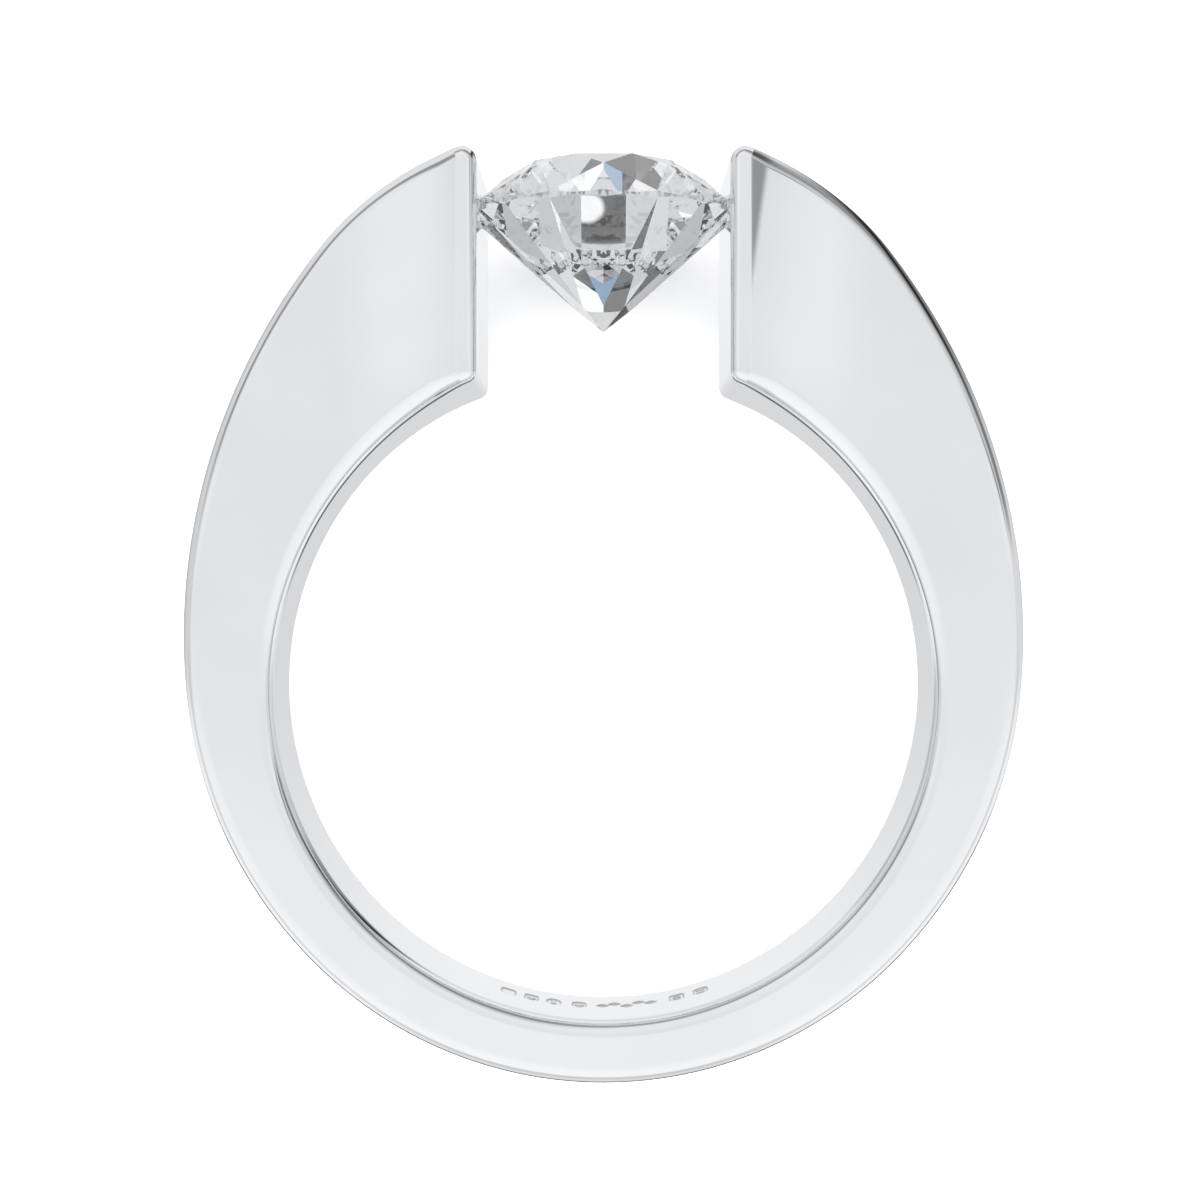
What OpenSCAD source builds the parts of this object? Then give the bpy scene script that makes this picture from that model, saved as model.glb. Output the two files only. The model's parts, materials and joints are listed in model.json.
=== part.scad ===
// Tension-set solitaire ring, lying on its side as it rests by itself.
// A one-piece metal band stands open at the head. Its two end faces grip the girdle
// of one round brilliant, so there is no claw or bezel.
// Each piece is drawn upright in the ring's own axes: X across, Y from the finger
// towards the stone, Z along the finger. lay_down() then tips it onto its side.

/* [Finger hole] */
// Radius of the finger hole
bore_r = 8.3; // [7.6:0.05:9]

/* [Shank] */
// Thickness of the shank at the back of the finger
shank_t = 1.6; // [1.3:0.05:2]
// Width of the shank along the finger
shank_w = 3.74; // [2.8:0.02:4.6]

/* [Outline] */
// Radius of the outline at the back of the finger
back_r = 10.3; // [10.1:0.05:10.5]
// Radius of the outline on the lower side
low_side_r = 11.1; // [10.9:0.05:11.3]
// Radius of the long outline up the shoulder
shoulder_r = 15.6; // [15:0.1:16]
// Radius of the outline where the shoulder turns over to the head
crown_r = 7.0; // [6.7:0.05:7.3]
// Angle up from the X axis where the lower side begins
low_side_from = -47; // [-52:1:-42]
// Angle up from the X axis where the shoulder begins
shoulder_from = -4.5; // [-7:0.5:-2]
// Angle up from the X axis where the crown begins
crown_from = 38.3; // [37:0.1:40]

/* [Head] */
// Distance between the two end faces that grip the stone
gap_w = 6.24; // [6.1:0.02:6.4]
// Width of the head along the finger
head_w = 6.32; // [5.4:0.02:6.8]
// Width of the flat strip beside each end face
land_w = 0.48; // [0.3:0.02:0.8]
// Radius of the rounding at the top of each end face
top_corner_r = 0.35; // [0.2:0.05:0.5]
// Radius of the rounding where an end face meets the finger hole
heel_r = 0.3; // [0.1:0.05:0.4]

/* [Stone] */
// Diameter of the stone across its girdle
stone_d = 6.9; // [6.75:0.01:7]
// Diameter of the table, from corner to corner
table_d = 3.78; // [3.5:0.02:4]
// Height of the crown, from the girdle to the table
crown_h = 1.16; // [1:0.01:1.25]
// Thickness of the girdle at its thickest points
girdle_t = 0.18; // [0.15:0.01:0.25]
// Depth of the pavilion, from the girdle to the culet
pavilion_h = 2.98; // [2.85:0.01:3.1]
// Length of the star facets, as a share of the way from table to girdle
star_share = 0.5; // [0.4:0.01:0.6]
// Length of the lower half facets, as a share of the way from girdle to culet
lower_half_share = 0.78; // [0.7:0.01:0.85]
// Height of the table above the centre of the finger hole
table_y = 13.44; // [13.3:0.02:13.5]
// Room between the stone and its seats in the metal
seat_gap = 0.02; // [0.01:0.005:0.04]

/* [Hidden] */
$fn = 96;
// Small overlap, so that cuts run clear of the faces they start from
eps = 0.01;
// Angle by which one arc of the outline runs on inside the next
lap = 3;
// Longer than any piece
far = 40;

function unit(a) = [cos(a), sin(a)];

// Centres of the outline's arcs. Neighbouring arcs touch where their angles meet.
back_c = [0, back_r - bore_r - shank_t];
low_side_c = back_c + (back_r - low_side_r) * unit(low_side_from);
shoulder_c = low_side_c + (low_side_r - shoulder_r) * unit(shoulder_from);
crown_c = shoulder_c + (shoulder_r - crown_r) * unit(crown_from);
// The top corner rolls inside the crown's arc and against the end face
top_corner_x = gap_w / 2 + top_corner_r;
top_corner_c = [top_corner_x,
                crown_c[1] + sqrt(pow(crown_r - top_corner_r, 2) - pow(top_corner_x - crown_c[0], 2))];
top_corner_from = atan2(top_corner_c[1] - crown_c[1], top_corner_c[0] - crown_c[0]);
// The heel rolls outside the finger hole and against the end face
heel_x = gap_w / 2 + heel_r;
heel_c = [heel_x, sqrt(pow(bore_r + heel_r, 2) - pow(heel_x, 2))];

// Seen from the top, each side of the head is one hollow arc. It leaves the shank's
// side level with the finger hole and reaches the land beside the end face.
land_x = gap_w / 2 + land_w;
flare_run = bore_r - land_x;
flare_rise = (head_w - shank_w) / 2;
flare_r = (pow(flare_run, 2) + pow(flare_rise, 2)) / (2 * flare_rise);

// Brilliant cut: eight kites meet the table's corners, half a step round from the stars
step = 45;
half_step = step / 2;
stone_r = stone_d / 2;
table_r = table_d / 2;
girdle_top = girdle_t / 2;
kite_slope = crown_h / (stone_r - table_r);
star_r = table_r * cos(half_step) * (1 - star_share) + stone_r * star_share;
star_z = girdle_top + (stone_r - star_r * cos(half_step)) * kite_slope;
main_slope = pavilion_h / stone_r;
lower_r = stone_r * (1 - lower_half_share);
lower_z = -girdle_top - (stone_r - lower_r * cos(half_step)) * main_slope;
// A half facet spans one chord of the girdle, and its plane cuts the girdle in a scallop
chord_r = stone_r * cos(half_step / 2);
upper_half_slope = (star_z - girdle_top) / (chord_r - star_r * cos(half_step / 2));
lower_half_slope = (-girdle_top - lower_z) / (chord_r - lower_r * cos(half_step / 2));
girdle_steps = 96;
per_step = girdle_steps / 8;
per_half = per_step / 2;
stone_mid_y = table_y - crown_h - girdle_top;

// The girdle's edge sits in two cones that clear the steepest ridges between the facets
crown_ridge_slope = (star_z - girdle_top) / (stone_r - star_r);
pavilion_ridge_slope = (-girdle_top - lower_z) / (stone_r - lower_r);

// Lying on its side, the ring touches the ground at the back of its shank and at
// whatever stands out furthest at the head: the girdle's edge, or the two lands
back_y = -bore_r - shank_t;
girdle_low_y = stone_mid_y - girdle_top;
land_low_y = sqrt(pow(bore_r, 2) - pow(land_x, 2));
stone_tilt = atan2(stone_r - shank_w / 2, girdle_low_y - back_y);
land_tilt = atan2(flare_rise, land_low_y - back_y);
rest_tilt = max(stone_tilt, land_tilt);
function laid_y(y, z) = y * cos(rest_tilt) - z * sin(rest_tilt);
function laid_z(y, z) = y * sin(rest_tilt) + z * cos(rest_tilt);
ground = laid_z(back_y, -shank_w / 2);
head_reach = laid_y(top_corner_c[1] + top_corner_r, -head_w / 2);
back_reach = laid_y(back_y, shank_w / 2);
middle_y = (head_reach + back_reach) / 2;

// How far the girdle's circle bows out past the chord under angle a
function bow(a) = stone_r * cos((a % half_step) - half_step / 2) - chord_r;
function at(r, a, z) = [r * cos(a), r * sin(a), z];
function reversed(list) = [for (i = [len(list) - 1:-1:0]) list[i]];

// One arc of the outline, as the slice of its circle between two angles
module arc_slice(centre, radius, from, to) {
    intersection() {
        translate(centre) circle(radius);
        polygon([centre, centre + far * unit(from), centre + far * unit((from + to) / 2),
                 centre + far * unit(to)]);
    }
}

// The right half of the outline above the back of the finger, with its top corner
// rounded. The tighter arc of each pair runs on a little inside the other.
module outline_half() {
    arc_slice(low_side_c, low_side_r, low_side_from, shoulder_from + lap);
    arc_slice(shoulder_c, shoulder_r, shoulder_from, crown_from);
    arc_slice(crown_c, crown_r, crown_from - lap, top_corner_from);
    polygon([crown_c, [top_corner_x + top_corner_r / 2, top_corner_c[1]], top_corner_c,
             [gap_w / 2, top_corner_c[1]]]);
    translate(top_corner_c) circle(top_corner_r);
}

// The sliver between a rounded heel and the sharp corner that it replaces
module heel_sliver() {
    difference() {
        polygon([[0, heel_c[1]], heel_c, heel_c * (bore_r - eps) / norm(heel_c), [0, 0]]);
        translate(heel_c) circle(heel_r);
    }
}

// The band as seen along the finger
module band_face() {
    difference() {
        union() {
            arc_slice(back_c, back_r, -180 - low_side_from - lap, low_side_from + lap);
            outline_half();
            mirror([1, 0]) outline_half();
        }
        circle(bore_r);
        translate([-gap_w / 2, 0]) square([gap_w, far]);
        heel_sliver();
        mirror([1, 0]) heel_sliver();
    }
}

// One side of the head as seen from the top, X across and Z along the finger
module head_plan_half() {
    difference() {
        translate([0, -head_w / 2]) square([bore_r, head_w]);
        for (side = [-1, 1])
            translate([bore_r, side * (shank_w / 2 + flare_r)]) circle(flare_r);
    }
    translate([0, -head_w / 2]) square([land_x, head_w]);
}

// All the room that the band's width leaves: a slab, and the wider head above it
module band_width() {
    translate([-far / 2, -far / 2, -shank_w / 2]) cube([far, far, shank_w]);
    rotate([-90, 0, 0]) linear_extrude(far / 2) {
        head_plan_half();
        mirror([1, 0]) head_plan_half();
    }
}

// The two hollow cones that the girdle's edge sits in
module seats() {
    reach = stone_r + seat_gap;
    half_t = girdle_top + seat_gap;
    translate([0, stone_mid_y, 0]) rotate([-90, 0, 0]) rotate_extrude()
        polygon([[0, half_t + reach * crown_ridge_slope], [reach, half_t], [reach, -half_t],
                 [0, -half_t - reach * pavilion_ridge_slope]]);
}

// Tips an upright piece onto its side, with the ground at height zero
module lay_down() {
    translate([0, -middle_y, -ground]) rotate([rest_tilt, 0, 0]) children();
}

module band() {
    color([0.86, 0.87, 0.88]) lay_down() difference() {
        intersection() {
            translate([0, 0, -head_w / 2]) linear_extrude(head_w) band_face();
            band_width();
        }
        seats();
    }
}

// Round brilliant about its own Z axis, with the middle of the girdle at height zero
module brilliant() {
    table = [for (k = [0:7]) at(table_r, step * k + half_step, girdle_top + crown_h)];
    stars = [for (k = [0:7]) at(star_r, step * k, star_z)];
    lowers = [for (k = [0:7]) at(lower_r, step * k, lower_z)];
    turn = 360 / girdle_steps;
    upper_rim = [for (j = [0:girdle_steps - 1])
        at(stone_r, turn * j, girdle_top - bow(turn * j) * upper_half_slope)];
    lower_rim = [for (j = [0:girdle_steps - 1])
        at(stone_r, turn * j, -girdle_top + bow(turn * j) * lower_half_slope)];
    culet = [0, 0, -girdle_top - pavilion_h];

    function T(k) = k % 8;
    function S(k) = 8 + k % 8;
    function L(k) = 16 + k % 8;
    function U(j) = 24 + j % girdle_steps;
    function W(j) = U(j) + girdle_steps;
    C = 24 + 2 * girdle_steps;

    faces = concat(
        [[for (k = [0:7]) T(k)]],
        [for (k = [0:7]) [T(k + 7), S(k), T(k)]],
        [for (k = [0:7]) [T(k), S(k), U(per_step * k + per_half), S(k + 1)]],
        [for (k = [0:7], s = [0, 7 * per_step + per_half])
            concat([S(k)], [for (j = [0:per_half]) U(per_step * k + s + j)])],
        [for (j = [0:girdle_steps - 1]) [W(j), W(j + 1), U(j + 1), U(j)]],
        [for (k = [0:7], s = [0, 7 * per_step + per_half])
            concat([L(k)], [for (j = [per_half:-1:0]) W(per_step * k + s + j)])],
        [for (k = [0:7]) [L(k + 1), W(per_step * k + per_half), L(k), C]]);
    polyhedron(concat(table, stars, lowers, upper_rim, lower_rim, [culet]),
               [for (f = faces) reversed(f)], convexity = 2);
}

module stone() {
    color([0.93, 0.96, 1, 0.5]) lay_down()
        translate([0, stone_mid_y, 0]) rotate([-90, 0, 0]) brilliant();
}

band();
stone();
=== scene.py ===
"""Dresses the solitaire ring for its portrait.

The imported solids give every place. The band is drawn again as one closed surface whose
edges are eased, with the two seats cut into its end faces and a row of small plain stamps
inside the shank. The stone keeps its own solid and gets a clear, polished finish. Sizes
are in metres. Shapes are worked out in the ring's own axes (X across, Y from the finger
to the stone, Z along the finger) and are laid down with the finger hole's mount.
"""
import json
import logging
from dataclasses import dataclass
from enum import Enum
from typing import Any, Callable, Mapping, Sequence, Union

import bpy
import numpy as np
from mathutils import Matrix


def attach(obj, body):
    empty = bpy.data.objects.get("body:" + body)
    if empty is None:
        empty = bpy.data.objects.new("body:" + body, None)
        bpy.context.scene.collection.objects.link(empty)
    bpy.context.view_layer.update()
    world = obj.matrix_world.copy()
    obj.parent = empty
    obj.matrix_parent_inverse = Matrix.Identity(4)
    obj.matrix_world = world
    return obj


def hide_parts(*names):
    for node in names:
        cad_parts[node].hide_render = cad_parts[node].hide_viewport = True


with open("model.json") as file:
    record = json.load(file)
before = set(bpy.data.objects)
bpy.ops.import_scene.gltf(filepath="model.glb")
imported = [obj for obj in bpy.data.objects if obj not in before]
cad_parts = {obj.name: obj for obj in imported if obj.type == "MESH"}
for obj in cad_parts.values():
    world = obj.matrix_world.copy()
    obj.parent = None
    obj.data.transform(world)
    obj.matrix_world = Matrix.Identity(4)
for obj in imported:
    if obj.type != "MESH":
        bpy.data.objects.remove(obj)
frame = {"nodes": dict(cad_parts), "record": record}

MM = 1e-3
PHOTO_PX = 1200
DEGREES = 180 / np.pi
Array = np.ndarray
Pair = tuple[float, float]
Colour = tuple[float, float, float]
Window = tuple[slice, slice]
log = logging.getLogger("ring")


def smoothstep(t: Array) -> Array:
    """Return 3t^2 - 2t^3 with t held between 0 and 1."""
    t = np.clip(t, 0.0, 1.0)
    return t * t * (3.0 - 2.0 * t)


def unit(angle: Array) -> Array:
    """Return the plane vectors (cos, sin) of angles in radians."""
    return np.stack([np.cos(angle), np.sin(angle)], axis=-1)


def eased_steps(x: Array, knots: Sequence[Pair]) -> Array:
    """Follow a row of values with a smooth step from each knot to the next.

    Args:
        x: places to read the row at.
        knots: (place, value) pairs in rising order of place.

    Returns:
        The value at each place, level outside the first and last knots.
    """
    value = np.full_like(x, knots[0][1])
    for (x0, v0), (x1, v1) in zip(knots, knots[1:]):
        value = value + (v1 - v0) * smoothstep((x - x0) / (x1 - x0))
    return value


class Place:
    """Where the ring's own axes stand in the frame, read from the finger hole's mount."""

    def __init__(self, record: Mapping[str, Any]) -> None:
        """Read the mount.

        Args:
            record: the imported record.
        """
        mount = next(m for m in record["mounts"] if m["name"] == "finger_hole")
        along = np.array(mount["axis"], float)
        along /= np.linalg.norm(along)
        across = np.array([1.0, 0.0, 0.0])
        self.axes = np.stack([across, np.cross(along, across), along])
        self.origin = np.array(mount["pos_m"], float)

    def points(self, points: Array) -> Array:
        """Return points of the ring's axes in the frame."""
        return points @ self.axes + self.origin

    def vectors(self, vectors: Array) -> Array:
        """Return directions of the ring's axes in the frame."""
        return vectors @ self.axes

    def tilt(self) -> float:
        """Return the angle in radians by which the ring's Z leans from upright."""
        return float(np.arctan2(self.axes[1][2], self.axes[1][1]))


class Turn(Enum):
    """Side of an edge that the metal lies on, as its normal sees it."""

    ROUND = 1.0
    HOLLOW = -1.0


@dataclass(frozen=True)
class Piece:
    """One stretch of an edge: an arc, or a straight run where the radius is nought."""

    centre: Pair
    radius: float
    from_deg: float
    to_deg: float
    turn: Turn = Turn.ROUND
    run: Pair = (0.0, 0.0)
    run_length: float = 0.0

    def length(self) -> float:
        """Return the length along the stretch."""
        return self.run_length or self.radius * abs(np.radians(self.to_deg - self.from_deg))


class Edge:
    """An edge of the ring seen along the finger, measured by the length along it."""

    def __init__(self, pieces: Sequence[Piece], rim: Sequence[Pair], outward: float) -> None:
        """Join the stretches.

        Args:
            pieces: stretches in order, each starting where the last one ends.
            rim: (length along the edge, radius of the eased rim) knots.
            outward: +1 where length along, then across the metal's width, then the
                outward normal form a right hand, and -1 where they form a left one.
        """
        self.ends = np.cumsum([0.0] + [p.length() for p in pieces])
        self.centres = np.array([p.centre for p in pieces])
        self.radii = np.array([p.radius for p in pieces])
        self.starts = np.radians([p.from_deg for p in pieces])
        sweeps = np.radians([p.to_deg - p.from_deg for p in pieces])
        self.rates = sweeps / np.array([p.length() for p in pieces])
        self.turns = np.array([p.turn.value for p in pieces])
        self.runs = np.array([p.run for p in pieces])
        self.rim = tuple(rim)
        self.outward = outward

    def length(self) -> float:
        """Return the whole length."""
        return float(self.ends[-1])

    def at(self, s: Array) -> tuple[Array, Array]:
        """Find points of the edge and their outward normals.

        A point is the stretch's centre, plus its radius along the angle that grows evenly
        with s, plus s along its run. The normal is that angle's direction, turned round
        where the metal lies outside the circle.

        Args:
            s: lengths along the edge.

        Returns:
            Points and unit normals, each with a last axis of two.
        """
        k = np.clip(np.searchsorted(self.ends, s, side="right") - 1, 0, len(self.radii) - 1)
        along = s - self.ends[k]
        ray = unit(self.starts[k] + self.rates[k] * along)
        points = self.centres[k] + self.radii[k][..., None] * ray + along[..., None] * self.runs[k]
        return points, self.turns[k][..., None] * ray

    def rim_radius(self, s: Array) -> Array:
        """Return the radius of the eased rim at lengths along the edge."""
        return eased_steps(s, self.rim)


class Skin:
    """Grids of points gathered into one closed mesh."""

    joined_within: float = 1e-6 * MM

    def __init__(self) -> None:
        """Start empty."""
        self.points: list[Array] = []
        self.normals: list[Array] = []
        self.stamp_haze_and_shade: list[Array] = []
        self.quads: list[Array] = []
        self.triangles: list[Array] = []
        self.count = 0

    def add_grid(self, points: Array, normals: Array, flip: bool,
                 keep: Union[Array, None] = None, stamp_haze_and_shade: Union[Array, float] = 0.0) -> Array:
        """Add a grid of points with a face between each four neighbours.

        Args:
            points: (rows, columns, 3) places.
            normals: unit normals in the same layout.
            flip: whether rows cross columns gives the inward side.
            keep: (rows - 1, columns - 1) mask of the faces that are made, or all.
            stamp_haze_and_shade: how hazy the stamps' tool has left each point and how much painted
                shade darkens it, 0 to 1.

        Returns:
            The number of each point, in the grid's layout.
        """
        rows, cols = points.shape[:2]
        ids = self.count + np.arange(rows * cols).reshape(rows, cols)
        self.count += rows * cols
        self.points.append(points.reshape(-1, 3))
        self.normals.append(normals.reshape(-1, 3))
        self.stamp_haze_and_shade.append(np.broadcast_to(stamp_haze_and_shade, (rows, cols)).reshape(-1))
        quads = np.stack([ids[:-1, :-1], ids[1:, :-1], ids[1:, 1:], ids[:-1, 1:]], axis=-1)
        quads = quads.reshape(-1, 4) if keep is None else quads[keep]
        self.quads.append(quads[:, ::-1] if flip else quads)
        return ids

    def stitch(self, outer: Array, outer_t: Array, inner: Array, inner_t: Array,
               flip: bool) -> None:
        """Fill the strip between two rows of points with triangles.

        Both rows are walked together. Each step along either one makes a triangle with
        the last point that was passed on the other.

        Args:
            outer: point numbers of the first row.
            outer_t: their rising places along the strip, from its start to its end.
            inner: point numbers of the second row.
            inner_t: their places on the same scale.
            flip: whether the triangles are turned over.
        """
        steps = np.concatenate([outer_t[1:], inner_t[1:]])
        is_outer = np.arange(len(steps)) < len(outer) - 1
        order = np.lexsort((~is_outer, steps))
        is_outer = is_outer[order]
        i = np.cumsum(is_outer)
        j = np.cumsum(~is_outer)
        at_outer = np.stack([outer[i - 1], outer[i], inner[j]], axis=-1)
        at_inner = np.stack([outer[i], inner[j], inner[j - 1]], axis=-1)
        faces = np.where(is_outer[:, None], at_outer, at_inner)
        self.triangles.append(faces[:, ::-1] if flip else faces)

    def mesh(self, name: str, place: Place) -> bpy.types.Mesh:
        """Join the grids where their points meet and make the mesh.

        Args:
            name: name of the mesh.
            place: where the ring's axes stand.

        Returns:
            A closed mesh with its own smooth normals and an attribute for the stamps' haze and
            painted shade.
        """
        points = np.concatenate(self.points)
        keys = np.rint(points / self.joined_within).astype(np.int64)
        _, first, to_new = np.unique(keys, axis=0, return_index=True, return_inverse=True)
        to_new = to_new.reshape(-1)
        faces = [to_new[f] for f in (np.concatenate(self.quads), np.concatenate(self.triangles))]
        corners = np.concatenate([f.reshape(-1) for f in faces])
        sizes = np.concatenate([np.full(len(f), f.shape[1]) for f in faces])
        mesh = bpy.data.meshes.new(name)
        mesh.vertices.add(len(first))
        mesh.vertices.foreach_set("co", place.points(points[first]).reshape(-1))
        mesh.loops.add(len(corners))
        mesh.loops.foreach_set("vertex_index", corners.astype(np.int32))
        mesh.polygons.add(len(sizes))
        starts = np.concatenate([[0], np.cumsum(sizes)[:-1]])
        mesh.polygons.foreach_set("loop_start", starts.astype(np.int32))
        stamp_haze_and_shade = np.concatenate(self.stamp_haze_and_shade)[first].astype(np.float32)
        mesh.attributes.new("stamp_haze_and_shade", "FLOAT", "POINT").data.foreach_set("value", stamp_haze_and_shade)
        mesh.update(calc_edges=True)
        mesh.shade_smooth()
        normals = place.vectors(np.concatenate(self.normals)[first])
        mesh.normals_split_custom_set_from_vertices(normals)
        return mesh


def surface_normals(surface: Callable[[Array, Array], Array], u: Array, v: Array, sign: float,
                    step_u: float = 2e-3 * MM, step_v: float = 2e-3 * MM) -> Array:
    """Find the unit normals of a surface of two parameters.

    The normal is the cross product of the differences over a small step either way in u
    and in v.

    Args:
        surface: gives points for u and v.
        u: first parameter.
        v: second parameter.
        sign: +1, or -1 to turn the normals over.
        step_u: small step in u.
        step_v: small step in v.

    Returns:
        Normals with a last axis of three.
    """
    along_u = surface(u + step_u, v) - surface(u - step_u, v)
    along_v = surface(u, v + step_v) - surface(u, v - step_v)
    normal = sign * np.cross(along_u, along_v)
    return normal / np.linalg.norm(normal, axis=-1, keepdims=True)


@dataclass(frozen=True)
class Girdle:
    """The stone's widest part, a thin upright band, in the ring's own axes."""

    height: float = 12.19 * MM
    thickness: float = 0.18 * MM
    radius: float = 3.45 * MM


@dataclass(frozen=True)
class Seat:
    """The groove in each end face that the stone's girdle sits in: two cones, mouth to
    mouth, with a short straight band between them."""

    height: float = Girdle.height
    reach: float = 3.47 * MM
    half_band: float = 0.11 * MM
    upper_slope: float = 0.916
    lower_slope: float = 0.8825
    eased: float = 0.02 * MM

    def depth(self, face_x: float, y: Array, z: Array) -> Array:
        """Find how deep the groove is in an end face.

        The cones' radius at height y is the reach less the height past the band over the
        slope. Across the face the groove follows that circle, so its depth is the root of
        radius squared less z squared, less the face's distance, and its brink is eased.

        Args:
            face_x: distance of the end face from the stone's axis.
            y: heights above the centre of the finger hole.
            z: places along the finger.

        Returns:
            Depths, nought outside the groove.
        """
        above = np.maximum(y - self.height - self.half_band, 0.0)
        below = np.maximum(self.height - self.half_band - y, 0.0)
        radius = self.reach - above / self.upper_slope - below / self.lower_slope
        past = np.sqrt(np.maximum(radius ** 2 - z ** 2, 0.0)) - face_x
        brink = np.maximum(past + self.eased, 0.0) ** 2 / (4 * self.eased)
        return np.where(past > self.eased, past, brink)


class Motif(Enum):
    """What stands in the middle of a stamp."""

    BEAD = "bead"
    BAR = "bar"
    RING = "ring"
    PAIR = "pair"
    PLAIN = "plain"


@dataclass(frozen=True)
class Stamp:
    """One small plain stamp inside the shank.

    The outline is the curve where the sum of the two offsets, each over its half size and
    raised to a power, is one. The motif stands up from the stamp's floor.
    """

    along: float
    half_along: float
    half_across: float
    power: float
    motif: Motif
    across: float = 0.0
    # Painted shade on the stamp's floor, which also makes the floor hazier
    floor_haze_and_shade: float = 0.12

    def hollow(self, a: Array, z: Array) -> Array:
        """Find how deep the stamp is cut, from 0 at its brink to 1 on its floor.

        The cut deepens over the outer third of the outline. Each motif has a distance of
        its own, and where that is less than one the cut is nearly filled up again.

        Args:
            a: places along the wall.
            z: places across the wall.

        Returns:
            Share of the full depth.
        """
        da = (a - self.along) / self.half_along
        dz = (z - self.across) / self.half_across
        reach = (np.abs(da) ** self.power + np.abs(dz) ** self.power) ** (1 / self.power)
        cut = smoothstep((1.0 - reach) / 0.34)
        motif = {
            Motif.BEAD: np.hypot(da / 0.52, dz / 0.42),
            Motif.BAR: np.maximum(np.abs(da) / 0.3, np.abs(dz) / 0.58),
            Motif.RING: 0.7 + np.abs(np.hypot(da, dz) - 0.42) / 0.2,
            Motif.PAIR: np.hypot(da / 0.5, (np.abs(dz) - 0.36) / 0.24),
            Motif.PLAIN: np.full_like(da, 2.0),
        }[self.motif]
        return cut * (1.0 - 0.85 * smoothstep((1.25 - motif) / 0.5))

    def haze_and_shade(self, a: Array, z: Array) -> Array:
        """Return how hazy the tool has left the metal and how much painted shade darkens it: most
        on the slopes of the cut.
        """
        cut = self.hollow(a, z)
        return np.maximum(4.0 * cut * (1.0 - cut), self.floor_haze_and_shade * cut)


@dataclass(frozen=True)
class StampRow:
    """The row of stamps in the finger hole's wall at the back of the finger."""

    stamps: tuple[Stamp, ...] = (
        Stamp(-2.49 * MM, 0.23 * MM, 0.40 * MM, 3.5, Motif.PLAIN),
        Stamp(-1.88 * MM, 0.21 * MM, 0.40 * MM, 5.0, Motif.BEAD),
        Stamp(-1.29 * MM, 0.22 * MM, 0.42 * MM, 2.0, Motif.BAR),
        Stamp(-0.63 * MM, 0.21 * MM, 0.40 * MM, 3.0, Motif.BEAD),
        # The five small dots have painted shade over most of their floors
        *(Stamp((-0.02 + 0.31 * k) * MM, 0.19 * MM, 0.26 * MM, 1.2, Motif.PLAIN, across * MM, 0.7)
          for k, across in enumerate((0.04, -0.15, 0.15, -0.15, 0.04))),
        Stamp(1.91 * MM, 0.22 * MM, 0.40 * MM, 5.0, Motif.RING),
        Stamp(2.55 * MM, 0.22 * MM, 0.40 * MM, 3.5, Motif.PAIR),
    )
    depth: float = 0.032 * MM
    middle_z: float = -0.36 * MM
    half_length: float = 2.95 * MM
    half_width: float = 0.52 * MM
    step: float = 0.028 * MM
    margin: float = 0.2 * MM

    def relief(self, a: Array, z: Array) -> Array:
        """Find how deep the wall is cut.

        Args:
            a: places along the wall, measured from the middle of the back.
            z: places along the finger.

        Returns:
            Depths into the metal.
        """
        across = z - self.middle_z
        return self.depth * sum(stamp.hollow(a, across) for stamp in self.stamps)

    def stamp_haze_and_shade(self, a: Array, z: Array) -> Array:
        """Return how hazy the stamps' tool has left the wall and how much painted shade darkens it,
        0 to 1.
        """
        return sum(stamp.haze_and_shade(a, z - self.middle_z) for stamp in self.stamps)


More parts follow.
